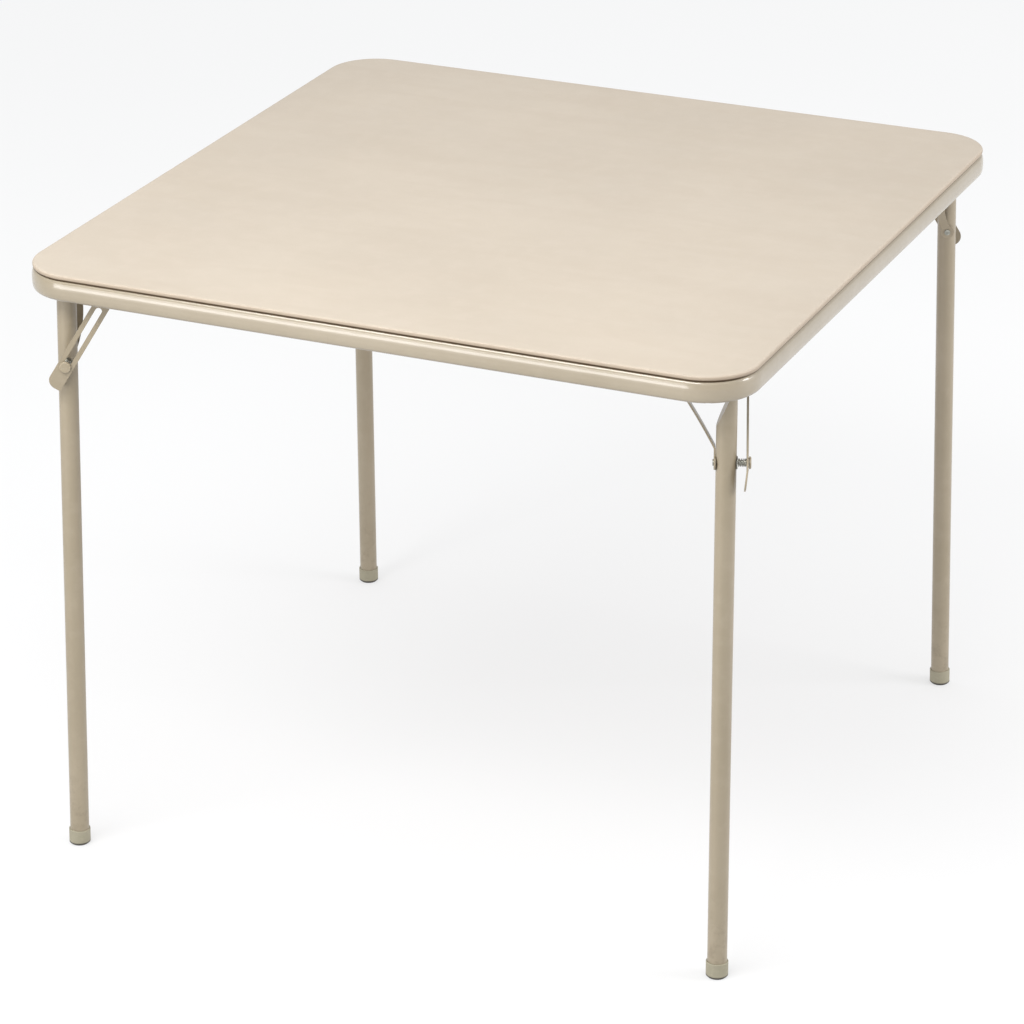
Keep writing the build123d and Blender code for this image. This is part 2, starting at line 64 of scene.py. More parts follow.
# Camera of the photograph, from a fit to its edges
IMAGE_SIDE = 1024.0
FOCAL_PIXELS = 4106.0
CAMERA_AZIMUTH = math.radians(24.0)
CAMERA_ELEVATION = math.radians(23.73)
CAMERA_ROLL = math.radians(-0.24)
CAMERA_OFFSET = Vector((17.4, -302.3, -5036.8))
SENSOR = 36.0

# The camera's clipping distances, in metres
CLIP_NEAR = 0.05
CLIP_FAR = 100.0


def make_camera():
    """The photograph's camera. CAMERA_OFFSET is the table's origin as this camera sees it."""
    back = Vector((
        math.sin(CAMERA_AZIMUTH) * math.cos(CAMERA_ELEVATION),
        -math.cos(CAMERA_AZIMUTH) * math.cos(CAMERA_ELEVATION),
        math.sin(CAMERA_ELEVATION),
    ))
    right = Vector((math.cos(CAMERA_AZIMUTH), math.sin(CAMERA_AZIMUTH), 0.0))
    up = back.cross(right)
    rows = Matrix((right, up, back))
    roll = Matrix((
        (math.cos(CAMERA_ROLL), math.sin(CAMERA_ROLL), 0.0),
        (-math.sin(CAMERA_ROLL), math.cos(CAMERA_ROLL), 0.0),
        (0.0, 0.0, 1.0),
    ))
    turn = (roll @ rows).transposed()
    place = -(turn @ CAMERA_OFFSET) * MM
    data = bpy.data.cameras.new("photo_camera")
    data.sensor_width = SENSOR
    data.lens = FOCAL_PIXELS / IMAGE_SIDE * SENSOR
    data.clip_start = CLIP_NEAR
    data.clip_end = CLIP_FAR
    camera = bpy.data.objects.new("photo_camera", data)
    camera.matrix_world = Matrix.Translation(place) @ turn.to_4x4()
    bpy.context.scene.collection.objects.link(camera)
    bpy.context.scene.camera = camera


# Node graphs

# The colour sockets of a Mix node, which share their names with its other sockets
MIX_FIRST = 6
MIX_SECOND = 7
MIX_RESULT = 2

# Where the cover sits tight and the painted shade in its seam is fainter: the right side, past the near
# corner
TIGHT_X = (405.0, 425.0)
TIGHT_Y = (-415.0, -375.0)
TIGHT_SHARE = 0.78

# The sRGB curve: its white, where its straight part ends, that part's slope, and the bend of the rest
SCREEN_WHITE = 255.0
SCREEN_KNEE = 0.04045
SCREEN_SLOPE = 12.92
SCREEN_SHIFT = 0.055
SCREEN_POWER = 2.4


def linear(color):
    """A screen colour, 0 to 255, as the linear values that a shader takes."""
    made = []
    for value in color:
        share = value / SCREEN_WHITE
        if share <= SCREEN_KNEE:
            made.append(share / SCREEN_SLOPE)
        else:
            made.append(((share + SCREEN_SHIFT) / (1 + SCREEN_SHIFT)) ** SCREEN_POWER)
    return tuple(made)


class Graph:
    """A small builder for one material's nodes. It reads places in metres."""

    def __init__(self, name):
        self.material = bpy.data.materials.new(name)
        self.material.use_nodes = True
        self.tree = self.material.node_tree
        self.tree.nodes.clear()
        self.output = self.tree.nodes.new("ShaderNodeOutputMaterial")
        self.place = self.add("ShaderNodeTexCoord").outputs["Object"]

    def put(self, socket, value):
        """Gives a socket another node's output, a colour or a number."""
        if isinstance(value, bpy.types.NodeSocket):
            self.tree.links.new(value, socket)
        elif socket.type == "RGBA":
            socket.default_value = (*value, 1.0)
        else:
            socket.default_value = value

    def add(self, kind, settings=None, **sockets):
        node = self.tree.nodes.new(kind)
        for name, value in (settings or {}).items():
            setattr(node, name, value)
        for name, value in sockets.items():
            self.put(node.inputs[name.replace("_", " ")], value)
        return node

    def scaled(self, factors, shift=(0.0, 0.0, 0.0)):
        """The place with its axes stretched and moved."""
        node = self.add("ShaderNodeMapping", Vector=self.place)
        node.inputs["Scale"].default_value = factors
        node.inputs["Location"].default_value = shift
        return node.outputs["Vector"]

    def noise(self, scale, detail, roughness, place=None, distortion=0.0):
        """Clouds, 0 to 1: how many a metre holds, how many finer sizes, and how strong these are."""
        node = self.add(
            "ShaderNodeTexNoise", Vector=place or self.place, Scale=scale, Detail=detail,
            Roughness=roughness, Distortion=distortion,
        )
        return node.outputs["Fac"]

    def cells(self, scale):
        """Rounded cells, about so many to a metre."""
        node = self.add(
            "ShaderNodeTexVoronoi", {"feature": "SMOOTH_F1"}, Vector=self.place, Scale=scale,
        )
        return node.outputs["Distance"]

    def waves(self, way, scale, distortion):
        """Straight bands across one axis."""
        node = self.add(
            "ShaderNodeTexWave", {"wave_type": "BANDS", "bands_direction": way},
            Vector=self.place, Scale=scale, Distortion=distortion,
        )
        return node.outputs["Fac"]

    def span(self, value, low, high, out_low=0.0, out_high=1.0):
        """A smooth step from out_low, where the value is low, to out_high, where it is high."""
        node = self.add(
            "ShaderNodeMapRange", {"interpolation_type": "SMOOTHSTEP"}, Value=value,
            From_Min=low, From_Max=high, To_Min=out_low, To_Max=out_high,
        )
        return node.outputs["Result"]

    def along(self, letter, low, high, out_low=0.0, out_high=1.0):
        """A smooth step along one axis, between two places in millimetres."""
        axis = self.add("ShaderNodeSeparateXYZ", Vector=self.place).outputs[letter]
        return self.span(axis, low * MM, high * MM, out_low, out_high)

    def calculate(self, operation, first, second, clamp=False):
        node = self.add("ShaderNodeMath", {"operation": operation, "use_clamp": clamp})
        self.put(node.inputs[0], first)
        self.put(node.inputs[1], second)
        return node.outputs[0]

    def plus(self, first, second):
        return self.calculate("ADD", first, second)

    def times(self, first, second, clamp=False):
        return self.calculate("MULTIPLY", first, second, clamp)

    def without(self, share, clamp=False):
        """One less a share."""
        return self.calculate("SUBTRACT", 1.0, share, clamp)

    def mix(self, share, first, second):
        node = self.add("ShaderNodeMix", {"data_type": "RGBA"}, Factor=share)
        self.put(node.inputs[MIX_FIRST], first)
        self.put(node.inputs[MIX_SECOND], second)
        return node.outputs[MIX_RESULT]

    def layer(self, tone, share, color):
        """Lays a screen colour over a tone by a share."""
        return self.mix(share, tone, linear(color))

    def two_tone(self, pattern, deep, pale, low=0.3, high=0.7):
        """Runs from one screen colour to another as a pattern goes from low to high."""
        return self.mix(self.span(pattern, low, high), linear(deep), linear(pale))

    def distance(self, way, origin):
        """How far a place lies from an origin along a way, in metres."""
        moved = self.add("ShaderNodeVectorMath", {"operation": "SUBTRACT"})
        self.put(moved.inputs[0], self.place)
        moved.inputs[1].default_value = origin
        node = self.add("ShaderNodeVectorMath", {"operation": "DOT_PRODUCT"})
        self.put(node.inputs[0], moved.outputs["Vector"])
        node.inputs[1].default_value = way
        return node.outputs["Value"]

    def seam_shade(self):
        """Painted shade, 1 along the cover's seam and less on the right side, where it sits tight on
        the frame.
        """
        tight = self.times(self.along("X", *TIGHT_X), self.along("Y", *TIGHT_Y))
        return self.without(self.times(TIGHT_SHARE, tight))

    def bump(self, height, strength, depth, normal=None):
        """Relief of a depth in millimetres, on top of another normal if one is given."""
        node = self.add("ShaderNodeBump", Height=height, Strength=strength, Distance=depth * MM)
        if normal is not None:
            self.put(node.inputs["Normal"], normal)
        return node.outputs["Normal"]

    def finish(self, color, roughness, normal, metallic=0.0, **constants):
        shader = self.add("ShaderNodeBsdfPrincipled")
        self.put(shader.inputs["Base Color"], color)
        self.put(shader.inputs["Roughness"], roughness)
        self.put(shader.inputs["Metallic"], metallic)
        self.put(shader.inputs["Normal"], normal)
        for name, value in constants.items():
            shader.inputs[name.replace("_", " ")].default_value = value
        self.tree.links.new(shader.outputs["BSDF"], self.output.inputs["Surface"])
        return self.material


# Materials

# Heights between which painted shade darkens the vinyl: down into its crevice on the frame, and over
# its rolled edge
CREVICE = (718.1, 719.7)
ROLLED_EDGE = (721.0, 723.8)

# Heights between which painted shade darkens the frame's paint: up under the cover, and at its low edge
UNDER_COVER = (715.7, 716.8)
LOW_EDGE = (692.6, 697.0)

# Heights over which the legs' darker patches towards the floor, and the dirt and painted shade at the
# caps' soles, fade out
LEG_LOW_DARKENING = (0.0, 160.0)
SOLE_DIRT_AND_SHADE = (2.2, 4.4)

# Painted shade in the seam of cover and frame, on both of them
SEAM_SHADE = (76, 56, 32)

# The paint's clear gloss, as its weight and IOR: thick on the frame, thin on the rest
THICK_GLOSS = (0.9, 1.62)
THIN_GLOSS = (0.35, 1.45)
GLOSS_ROUGHNESS = 0.14

# Radius of the rounding that light sees on the edges of sheet parts, and its samples
EDGE_RADIUS = 0.5
EDGE_SAMPLES = 6

# Length over which the paint starts, just below the pin's head
HEAD_EDGE = 0.1


def vinyl_material():
    """Sheet vinyl with a fine leather grain, soft clouds and streaks, and painted shade on its rolled
    edge and in its seam.
    """
    graph = Graph("vinyl_sheet")
    tone = graph.two_tone(graph.noise(3.2, 4.0, 0.55), (172, 162, 148), (177, 167, 153))
    streaks = graph.noise(7.0, 3.0, 0.5, graph.scaled((1.0, 5.0, 1.0)), 0.6)
    tone = graph.layer(tone, graph.span(streaks, 0.35, 0.7, 0.0, 0.25), (168, 156, 141))
    mottle = graph.noise(46.0, 4.0, 0.6)
    tone = graph.layer(tone, graph.span(mottle, 0.42, 0.72, 0.0, 0.22), (182, 172, 159))
    speck = graph.noise(420.0, 2.0, 0.5)
    tone = graph.layer(tone, graph.span(speck, 0.55, 0.75, 0.0, 0.22), (165, 154, 138))
    # Painted shade on the lower part of the rolled edge
    tone = graph.layer(tone, graph.along("Z", *ROLLED_EDGE, 0.5, 0.0), (140, 120, 96))
    # Painted shade down in the crevice on the frame, fainter where the cover sits tight
    crevice = graph.along("Z", *CREVICE, 0.97, 0.0)
    tone = graph.layer(tone, graph.times(crevice, graph.seam_shade()), SEAM_SHADE)
    fine_grain = graph.times(graph.noise(2300.0, 2.0, 0.5), 0.35)
    grain = graph.plus(graph.times(graph.cells(900.0), 0.8), fine_grain)
    normal = graph.bump(grain, strength=0.30, depth=0.28)
    normal = graph.bump(graph.noise(28.0, 3.0, 0.5), strength=0.10, depth=0.8, normal=normal)
    rough = graph.span(graph.noise(9.0, 4.0, 0.6), 0.3, 0.7, 0.44, 0.56)
    return graph.finish(tone, rough, normal, IOR=1.46)


def paint_material(name, shift=(0.0, 0.0, 0.0), darker_low=False, edges=False, seam=False, gloss=THIN_GLOSS):
    """Sprayed paint on steel, with orange peel and worn patches. The shift keeps two pieces apart."""
    graph = Graph(name)
    moved = graph.scaled((1.0, 1.0, 1.0), shift)
    tone = graph.two_tone(graph.noise(6.0, 4.0, 0.55, moved), (138, 127, 106), (146, 135, 115))
    mottle = graph.noise(60.0, 3.0, 0.6, moved)
    tone = graph.layer(tone, graph.span(mottle, 0.45, 0.75, 0.0, 0.3), (153, 142, 123))
    scuff = graph.noise(34.0, 6.0, 0.75, graph.scaled((1.0, 1.0, 0.22), shift), 1.2)
    worn = graph.span(scuff, 0.66, 0.74, 0.0, 0.45)
    tone = graph.layer(tone, worn, (127, 115, 94))
    if seam:
        # Painted shade up under the cover, fainter where it sits tight
        crevice = graph.along("Z", *UNDER_COVER, 0.0, 0.95)
        tone = graph.layer(tone, graph.times(crevice, graph.seam_shade()), SEAM_SHADE)
        # Painted shade along the frame's low edge
        tone = graph.layer(tone, graph.along("Z", *LOW_EDGE, 0.5, 0.0), (96, 84, 66))
    if darker_low:
        # Darker patches towards the floor
        height = graph.along("Z", *LEG_LOW_DARKENING, 1.0, 0.0)
        low_patches = graph.span(graph.noise(90.0, 5.0, 0.7, moved), 0.45, 0.7)
        tone = graph.layer(tone, graph.times(graph.times(height, low_patches), 0.4), (104, 92, 74))
    peel = graph.noise(520.0, 2.0, 0.5, moved)
    below = None
    if edges:
        bevel = graph.add("ShaderNodeBevel", {"samples": EDGE_SAMPLES}, Radius=EDGE_RADIUS * MM)
        below = bevel.outputs["Normal"]
    normal = graph.bump(peel, strength=0.10, depth=0.15, normal=below)
    normal = graph.bump(graph.noise(34.0, 2.0, 0.5, moved), strength=0.05, depth=0.6, normal=normal)
    rough = graph.span(graph.noise(22.0, 4.0, 0.6, moved), 0.3, 0.7, 0.34, 0.44)
    rough = graph.plus(rough, graph.times(worn, 0.25))
    weight, ior = gloss
    return graph.finish(
        tone, rough, normal, IOR=1.5,
        Coat_Weight=weight, Coat_Roughness=GLOSS_ROUGHNESS, Coat_IOR=ior,
    )


def zinc_graph(name):
    """Zinc plate with blotches and dull stains."""
    graph = Graph(name)
    tone = graph.two_tone(graph.noise(160.0, 4.0, 0.6), (148, 148, 140), (184, 183, 174), 0.35, 0.7)
    stain = graph.noise(420.0, 3.0, 0.6)
    tone = graph.layer(tone, graph.span(stain, 0.58, 0.75, 0.0, 0.5), (118, 110, 92))
    rough = graph.span(graph.noise(600.0, 3.0, 0.6), 0.3, 0.7, 0.26, 0.44)
    normal = graph.bump(graph.noise(1500.0, 3.0, 0.6), strength=0.15, depth=0.1)
    return graph, tone, rough, normal


def zinc_material():
    graph, tone, rough, normal = zinc_graph("zinc_plate")
    return graph.finish(tone, rough, normal, metallic=1.0)


def pin_material(corner):
    """Zinc shank and tail, with the head painted as the rest of the leg is, and chipped."""
    graph, tone, rough, normal = zinc_graph(f"pin_finish_{corner + 1}")
    place, out = corner_axes(corner)
    head_start = (PIN_HEAD_STATION - HEAD_EDGE) * MM
    head = graph.span(graph.distance(out, place), head_start, PIN_HEAD_STATION * MM)
    paint = graph.two_tone(graph.noise(60.0, 3.0, 0.6), (142, 131, 110), (150, 139, 119))
    chip = graph.span(graph.noise(700.0, 4.0, 0.6), 0.62, 0.68)
    head = graph.times(head, graph.without(chip), clamp=True)
    metal = graph.without(head, clamp=True)
    return graph.finish(graph.mix(head, tone, paint), rough, normal, metal)


def cap_material():
    """Moulded plastic, scratched round its side, with dirt and painted contact shade at its sole."""
    graph = Graph("cap_moulding")
    tone = graph.two_tone(graph.noise(40.0, 4.0, 0.6), (136, 131, 112), (146, 141, 122))
    # Dirt and painted contact shade at the sole
    low = graph.along("Z", *SOLE_DIRT_AND_SHADE, 1.0, 0.0)
    dirt_and_shade = graph.times(low, graph.span(graph.noise(300.0, 4.0, 0.65), 0.25, 0.6, 0.85, 1.0))
    tone = graph.layer(tone, dirt_and_shade, (30, 27, 21))
    scratch = graph.noise(120.0, 5.0, 0.7, graph.scaled((1.0, 1.0, 5.0)))
    tone = graph.layer(tone, graph.span(scratch, 0.6, 0.72, 0.0, 0.35), (186, 179, 160))
    normal = graph.bump(graph.noise(1100.0, 3.0, 0.6), strength=0.18, depth=0.2)
    rough = graph.span(graph.noise(80.0, 3.0, 0.6), 0.3, 0.7, 0.5, 0.64)
    return graph.finish(tone, rough, normal, IOR=1.48)


def board_material():
    """Tempered hardboard: pressed fibres with dark flecks, and the screen's pattern below."""
    graph = Graph("tempered_hardboard")
    fibre = graph.noise(300.0, 6.0, 0.7, graph.scaled((1.0, 0.45, 1.0)), 1.5)
    tone = graph.two_tone(graph.noise(5.0, 4.0, 0.6), (104, 72, 44), (122, 86, 54))
    tone = graph.layer(tone, graph.span(fibre, 0.35, 0.65), (140, 103, 68))
    fleck = graph.noise(900.0, 3.0, 0.6)
    tone = graph.layer(tone, graph.span(fleck, 0.6, 0.75, 0.0, 0.7), (72, 48, 28))
    screen = graph.times(graph.waves("X", 210.0, 0.4), graph.waves("Y", 210.0, 0.4))
    normal = graph.bump(screen, strength=0.5, depth=0.3)
    normal = graph.bump(fibre, strength=0.3, depth=0.3, normal=normal)
    return graph.finish(tone, graph.span(fibre, 0.3, 0.7, 0.6, 0.8), normal, IOR=1.45)


def corner_axes(corner):
    """The leg's pivot, in metres, and the way its lock pin points."""
    turn = Matrix.Rotation(QUARTER_TURN * corner, 3, "Z")
    half = TOP_SIDE / 2
    place = Vector((PIVOT_FAR_INSET - half, PIVOT_NEAR_INSET - half, PIVOT_HEIGHT)) * MM
    out = Vector((math.sin(FOLD_HEADING), -math.cos(FOLD_HEADING), 0.0))
    return turn @ place, turn @ out


def paint(node, material):
    """Gives a CAD node one material on every slot."""
    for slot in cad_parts[node].material_slots:
        slot.material = material


def paint_nodes(frame_paint, zinc):
    """Gives every CAD node that shows its material."""
    sheet_paint = paint_material("pressed_paint", (1.7, 2.2, 0.6), edges=True)
    cap = cap_material()
    paint("rim_frame", frame_paint)
    paint("top_board", board_material())
    paint("panel_clips", paint_material("clip_paint", (3.1, 0.4, 0.2), edges=True))
    for node in ("panel_screws", "bracket_screws", "leg_pivot_rivets", "strap_pivot_rivets"):
        paint(node, zinc)
    for number in range(1, CORNERS + 1):
        shift = (number * 1.3, number * 0.7, number * 0.9)
        paint(f"leg_tube_{number}", paint_material(f"leg_paint_{number}", shift, darker_low=True))
        paint(f"foot_cap_{number}", cap)
        paint(f"lock_pin_{number}", pin_material(number - 1))
        for kind in ("pin_washer", "head_washer"):
            paint(f"{kind}_{number}", zinc)
        for kind in ("corner_bracket", "stabilizer_strap", "lock_brace", "brace_rivet"):
            paint(f"{kind}_{number}", sheet_paint)


# Meshes


def mesh_object(name, points, faces, material):
    """A smooth-shaded piece from points in metres."""
    data = bpy.data.meshes.new(name)
    data.from_pydata([tuple(point) for point in points], [], faces)
    data.validate()
    data.polygons.foreach_set("use_smooth", [True] * len(data.polygons))
    data.materials.append(material)
    data.update()
    made = bpy.data.objects.new(name, data)
    bpy.context.scene.collection.objects.link(made)
    return made


def bands(loops):
    """Faces between closed loops of point numbers, each loop with the next."""
    faces = []
    for first, second in zip(loops, loops[1:]):
        count = len(first)
        for index in range(count):
            after = (index + 1) % count
            faces.append((first[index], second[index], second[after], first[after]))
    return faces


def tube_faces(rings, count, turned=False):
    """Faces of a closed tube of rings with so many points each, turned the other way if asked."""
    loops = [range(ring * count, (ring + 1) * count) for ring in range(rings)]
    sides = bands(loops)
    if turned:
        sides = [(face[0], face[3], face[2], face[1]) for face in sides]
        return sides + [tuple(reversed(loops[0])), tuple(loops[-1])]
    return sides + [tuple(loops[0]), tuple(reversed(loops[-1]))]


def wobble(x, y, slice_height):
    """Smooth noise about zero."""
    return noise.noise(Vector((x, y, slice_height)))


# The cover, wrapped round the board's edge
COVER_HALF = 430.8
COVER_CORNER = 60.8
COVER_TOP = 724.0
COVER_SEAT = 717.02
COVER_WIDEST = 721.0
COVER_THICK = 0.78
BOARD_TOP = 721.22
BOARD_LOW = 717.8
BOARD_GAP = 0.02
FLAP_END = 10.8
FLAP_MIDDLE = 6.48

# Its rolls: the top one runs in to the crown, the low one down to the frame
TOP_ROLL_IN = 3.2
LOW_ROLL_IN = 2.5
ROLL_STEPS = 8

# Its inside at the board's low edge: how far in and how high the two points lie
INNER_FOOT_IN = 0.55
INNER_FOOT_RISE = 0.45
INNER_SIDE_RISE = 1.7

# Its crown: how far the padding falls to the edge, how late it falls, and its faint ripple
COVER_CROWN = 0.45
CROWN_POWER = 5
RIPPLE = 0.05
RIPPLE_SCALE = 0.011
RIPPLE_SLICE = 1.7

# How far the rolled edge rises above its widest place
EDGE_RISE = COVER_TOP - COVER_CROWN - COVER_WIDEST

# Its puckers: how deep they are, what share shows on the straight sides, and how close they lie
PUCKER = 0.10
PUCKER_ON_SIDES = 0.25
PUCKER_SCALE = 0.16
PUCKER_SLICE = 4.2

# Its mesh: steps round a corner and along a side, and the rings of the top as shares of its size
ARC_STEPS = 18
SIDE_STEPS = 44
TOP_RINGS = (0.12, 0.24, 0.36, 0.48, 0.6, 0.7, 0.78, 0.85, 0.9, 0.94, 0.965, 0.982)


def rounded_square(half, radius):
    """Points round a square with round corners, and how far each is into a corner, 0 to 1."""
    points = []
    straight = half - radius
    for corner in range(CORNERS):
        turn = Matrix.Rotation(QUARTER_TURN * corner, 2)
        for step in range(SIDE_STEPS):
            spot = Vector((-straight + 2 * straight * step / SIDE_STEPS, -half))
            points.append((turn @ spot, 0.0))
        for step in range(ARC_STEPS):
            share = step / ARC_STEPS
            angle = QUARTER_TURN * share
            across = straight + radius * math.sin(angle)
            along = -straight - radius * math.cos(angle)
            points.append((turn @ Vector((across, along)), math.sin(math.pi * share)))
    return points


def cover_fall(x, y):
    """How far the padded top lies below COVER_TOP."""
    across = abs(x) / COVER_HALF
    along = abs(y) / COVER_HALF
    full = (1 - across ** CROWN_POWER) * (1 - along ** CROWN_POWER)
    ripple = wobble(x * RIPPLE_SCALE, y * RIPPLE_SCALE, RIPPLE_SLICE) * RIPPLE
    return COVER_CROWN * (1 - full) + ripple * full


def cover_profile():
    """The cover's section from its top roll round to its inside: inset, height and share of pucker."""
    edge_fall = COVER_WIDEST - COVER_SEAT
    profile = []
    for step in range(ROLL_STEPS + 1):
        angle = QUARTER_TURN * step / ROLL_STEPS
        inset = TOP_ROLL_IN * (1 - math.sin(angle))
        profile.append((inset, COVER_WIDEST + EDGE_RISE * math.cos(angle), step / ROLL_STEPS))
    for step in range(1, ROLL_STEPS + 1):
        angle = QUARTER_TURN * step / ROLL_STEPS
        inset = LOW_ROLL_IN * (1 - math.cos(angle))
        profile.append((inset, COVER_WIDEST - edge_fall * math.sin(angle), 1.0))
    profile.extend((
        (FLAP_MIDDLE, COVER_SEAT, 0.0),
        (FLAP_END, COVER_SEAT, 0.0),
        (FLAP_END, BOARD_LOW - BOARD_GAP, 0.0),
        (LOW_ROLL_IN, BOARD_LOW - BOARD_GAP, 0.0),
        (COVER_THICK + INNER_FOOT_IN, BOARD_LOW + INNER_FOOT_RISE, 0.0),
        (COVER_THICK, BOARD_LOW + INNER_SIDE_RISE, 0.0),
        (COVER_THICK, BOARD_TOP, 0.0),
    ))
    return profile


def cover_ring(inset, height, weight):
    """Points round the cover at one place of its profile."""
    points = []
    for (x, y), corner in rounded_square(COVER_HALF - inset, COVER_CORNER - inset):
        z = height
        if height > COVER_WIDEST:
            share = (height - COVER_WIDEST) / EDGE_RISE
            z -= (cover_fall(x, y) - COVER_CROWN) * share
        depth = PUCKER * weight * (PUCKER_ON_SIDES + corner)
        pucker = abs(wobble(x * PUCKER_SCALE, y * PUCKER_SCALE, PUCKER_SLICE) * depth)
        away = Vector((x, y)).normalized()
        points.append((x - away[0] * pucker, y - away[1] * pucker, z))
    return points


def make_cover(material):
    """Vinyl over thin foam: a closed shell that wraps the board's edge and turns in under it."""
    rings = []
    top_outline = rounded_square(COVER_HALF - TOP_ROLL_IN, COVER_CORNER - TOP_ROLL_IN)
    for share in TOP_RINGS:
        ring = []
        for spot, _ in top_outline:
            x, y = spot[0] * share, spot[1] * share
            ring.append((x, y, COVER_TOP - cover_fall(x, y)))
        rings.append(ring)
    for inset, height, weight in cover_profile():
        rings.append(cover_ring(inset, height, weight))
    points = []
    loops = []
    for ring in rings:
        loops.append(range(len(points), len(points) + len(ring)))
        points.extend(ring)
    faces = bands(loops)
    count = len(top_outline)
    middle = len(points)
    points.append((0.0, 0.0, COVER_TOP - cover_fall(0.0, 0.0)))
    under = len(points)
    points.append((0.0, 0.0, BOARD_TOP))
    for index in range(count):
        faces.append((middle, loops[0][index], loops[0][(index + 1) % count]))
    for index in range(count):
        faces.append((under, loops[-1][(index + 1) % count], loops[-1][index]))
    made = mesh_object("vinyl_cover", [Vector(point) * MM for point in points], faces, material)
    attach(made, "table_top")
    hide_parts("top_cover", "foam_pad")


# The frame's weld: its place along the far side, half width, and how far it stands out and sinks in
WELD_PLACE = 96.0
WELD_HALF = 1.3
WELD_PROUD = 0.28
WELD_SUNK = 0.1
WELD_STEPS = 8

# Its unevenness: how much the bead's height and width vary, and where in the noise they are read
LUMP = 0.25
LUMP_ROUND = 0.7
LUMP_ACROSS = 0.2
LUMP_SLICE = 9.0
SPREAD = 0.12
SPREAD_ROUND = 0.5
SPREAD_LINE = 3.0
SPREAD_SLICE = 1.0

# Corners of the frame's section: distance in from its face, height from its middle, and rounding
FRAME_SECTION = (
    (15.0, 12.25, 2.0), (2.0, 12.25, 4.5), (0.0, 4.25, 22.0),
    (0.0, -5.25, 22.0), (1.4, -12.25, 4.5), (15.0, -12.25, 2.0),
)
SECTION_STEPS = 6


def rounded_section(corners):
    """A closed outline with each corner rounded: points and the ways that face outwards."""
    made = []
    for index, (x, y, radius) in enumerate(corners):
        here = Vector((x, y))
        before = Vector(corners[index - 1][:2])
        after = Vector(corners[(index + 1) % len(corners)][:2])
        back, ahead = (before - here).normalized(), (after - here).normalized()
        opening = back.angle(ahead)
        reach = radius / math.tan(opening / 2)
        middle = here + (back + ahead).normalized() * radius / math.sin(opening / 2)
        first, last = here + back * reach - middle, here + ahead * reach - middle
        for step in range(SECTION_STEPS + 1):
            way = first.lerp(last, step / SECTION_STEPS).normalized()
            made.append((middle + way * radius, way))
    return made


def make_frame_weld(material):
    """The butt weld that closes the frame's ring, ground nearly flush, on the far side."""
    section = rounded_section(FRAME_SECTION)
    points = []
    for column in range(WELD_STEPS + 1):
        share = column / WELD_STEPS * 2 - 1
        proud = WELD_PROUD * math.sqrt(1 - share * share) - WELD_SUNK
        for index, (spot, out) in enumerate(section):
            lump = 1 + LUMP * wobble(index * LUMP_ROUND, column * LUMP_ACROSS, LUMP_SLICE)
            spread = 1 + SPREAD * wobble(index * SPREAD_ROUND, SPREAD_LINE, SPREAD_SLICE)
            place = spot + out * proud * lump
            x = WELD_PLACE + WELD_HALF * share * spread
            height = FRAME_TOP - FRAME_TALL / 2 + place[1]
            points.append(Vector((x, TOP_SIDE / 2 - place[0], height)) * MM)
    faces = tube_faces(WELD_STEPS + 1, len(section))
    made = mesh_object("frame_weld", points, faces, material)
    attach(made, "table_top")


# Lock spring: where it starts and ends on the pin, measured from the leg's axis
SPRING_LOW = 12.15
SPRING_HIGH = 21.45

# Its wire, the radius of its coil, and its turns
SPRING_WIRE = 0.9
SPRING_COIL = 4.05
SPRING_ACTIVE_TURNS = 3.5
SPRING_END_TURNS = 1.0
SPRING_END_PITCH = 0.96
SPRING_STEPS_A_TURN = 32
WIRE_SIDES = 10


def spring_height(turn):
    """Height of the wire's middle above the spring's low end: closed end turns, open ones between."""
    active_rise = SPRING_HIGH - SPRING_LOW - SPRING_WIRE - 2 * SPRING_END_TURNS * SPRING_END_PITCH
    height = SPRING_WIRE / 2 + min(turn, SPRING_END_TURNS) * SPRING_END_PITCH
    opened = min(max(turn - SPRING_END_TURNS, 0.0), SPRING_ACTIVE_TURNS)
    height += opened / SPRING_ACTIVE_TURNS * active_rise
    height += max(turn - SPRING_END_TURNS - SPRING_ACTIVE_TURNS, 0.0) * SPRING_END_PITCH
    return height


def make_spring(corner, material):
    """A compression spring with closed ends, on its pin."""
    place, out = corner_axes(corner)
    fold_way = Vector((-out[1], out[0], 0.0))
    leg_way = Vector((0.0, 0.0, math.cos(LEG_LEAN))) + fold_way * math.sin(LEG_LEAN)
    side_way = out.cross(leg_way)
    foot = place - leg_way * PIN_DROP * MM
    turns = SPRING_ACTIVE_TURNS + 2 * SPRING_END_TURNS
    steps = round(turns * SPRING_STEPS_A_TURN)
    points = []
    for step in range(steps + 1):
        turn = turns * step / steps
        angle = 2 * math.pi * turn
        away = side_way * math.cos(angle) + leg_way * math.sin(angle)
        middle = foot + (out * (SPRING_LOW + spring_height(turn)) + away * SPRING_COIL) * MM
        for side in range(WIRE_SIDES):
            around = 2 * math.pi * side / WIRE_SIDES
            spoke = away * math.cos(around) + out * math.sin(around)
            points.append(middle + spoke * SPRING_WIRE / 2 * MM)
    faces = tube_faces(steps + 1, WIRE_SIDES, turned=True)
    number = corner + 1
    made = mesh_object(f"coil_spring_{number}", points, faces, material)
    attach(made, f"leg_{number}")
    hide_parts(f"lock_spring_{number}")
    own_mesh(made)


# Studio

# The floor, its side in metres. It is a lit white sheet, so its shadows stay pale
FLOOR_SIDE = 60.0
FLOOR_STEPS = 12
FLOOR_DEEP = (0.248, 0.252, 0.256)
FLOOR_PALE = (0.258, 0.262, 0.266)
FLOOR_GLOW = 0.62

# The sky's strength at the horizon and high up, and how high it stops rising, as a sine
SKY_LOW = 0.6
SKY_HIGH = 1.2
SKY_RISE_END = 0.9
WHITE = (1.0, 1.0, 1.0, 1.0)


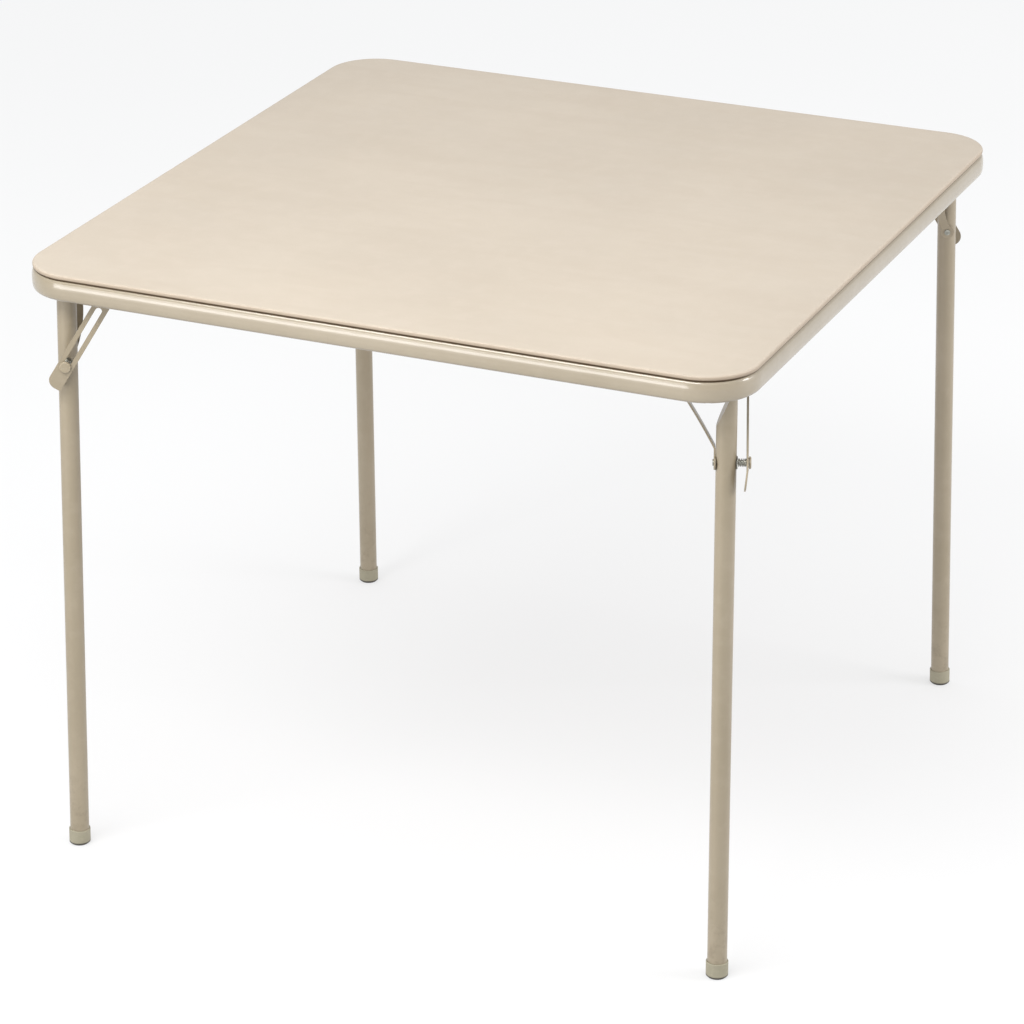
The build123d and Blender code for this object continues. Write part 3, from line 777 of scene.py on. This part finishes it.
def floor_material():
    graph = Graph("studio_floor")
    tone = graph.mix(graph.span(graph.noise(0.6, 2.0, 0.5), 0.3, 0.7), FLOOR_DEEP, FLOOR_PALE)
    normal = graph.bump(graph.noise(60.0, 2.0, 0.5), strength=0.02, depth=0.5)
    return graph.finish(
        tone, 0.9, normal, Specular_IOR_Level=0.1,
        Emission_Color=WHITE, Emission_Strength=FLOOR_GLOW,
    )


def make_floor():
    side = FLOOR_STEPS + 1
    points = []
    for row in range(side):
        for column in range(side):
            x = FLOOR_SIDE * (column / FLOOR_STEPS - 0.5)
            y = FLOOR_SIDE * (row / FLOOR_STEPS - 0.5)
            points.append((x, y, 0.0))
    faces = []
    for row in range(FLOOR_STEPS):
        for column in range(FLOOR_STEPS):
            first = row * side + column
            faces.append((first, first + 1, first + side + 1, first + side))
    mesh_object("studio_floor", points, faces, floor_material())


def area_light(name, place, aim, size, power, color):
    """A rectangular lamp. Places and sizes are in metres, and the power is in watts."""
    data = bpy.data.lights.new(name, "AREA")
    data.shape = "RECTANGLE"
    data.size, data.size_y = size
    data.energy = power
    data.color = color
    lamp = bpy.data.objects.new(name, data)
    way = Vector(aim) - Vector(place)
    turn = way.to_track_quat("-Z", "Y").to_matrix().to_4x4()
    lamp.matrix_world = Matrix.Translation(place) @ turn
    bpy.context.scene.collection.objects.link(lamp)


def make_sky():
    """A white sky that is stronger above than at the horizon."""
    world = bpy.data.worlds.new("studio")
    world.use_nodes = True
    tree = world.node_tree
    shade = tree.nodes["Background"]
    shade.inputs["Color"].default_value = WHITE
    way = tree.nodes.new("ShaderNodeTexCoord")
    split = tree.nodes.new("ShaderNodeSeparateXYZ")
    ramp = tree.nodes.new("ShaderNodeMapRange")
    ramp.interpolation_type = "SMOOTHSTEP"
    ramp.inputs["From Min"].default_value = 0.0
    ramp.inputs["From Max"].default_value = SKY_RISE_END
    ramp.inputs["To Min"].default_value = SKY_LOW
    ramp.inputs["To Max"].default_value = SKY_HIGH
    tree.links.new(way.outputs["Generated"], split.inputs[0])
    tree.links.new(split.outputs["Z"], ramp.inputs["Value"])
    tree.links.new(ramp.outputs["Result"], shade.inputs["Strength"])
    bpy.context.scene.world = world


def make_light():
    """The sky, three soft lamps and a plain view transform."""
    make_sky()
    area_light(
        "key_above", place=(-0.25, -1.5, 2.25), aim=(0.05, -0.3, 0.7),
        size=(1.7, 0.75), power=41.0, color=(1.0, 0.985, 0.965),
    )
    area_light(
        "front_panel", place=(-1.5, -3.6, 0.55), aim=(0.0, -0.4, 0.6),
        size=(2.8, 0.85), power=47.0, color=(1.0, 0.98, 0.98),
    )
    area_light(
        "right_panel", place=(3.3, 0.9, 1.5), aim=(0.3, 0.1, 0.6),
        size=(1.6, 1.3), power=66.0, color=(1.0, 0.97, 0.97),
    )
    view = bpy.context.scene.view_settings
    view.view_transform = "Standard"
    view.look = "None"
    view.exposure = 0.0
    view.gamma = 1.0


make_camera()
frame_paint = paint_material("frame_paint", seam=True, gloss=THICK_GLOSS)
zinc = zinc_material()
paint_nodes(frame_paint, zinc)
for corner in range(CORNERS):
    make_spring(corner, zinc)
make_cover(vinyl_material())
make_frame_weld(frame_paint)
make_floor()
make_light()
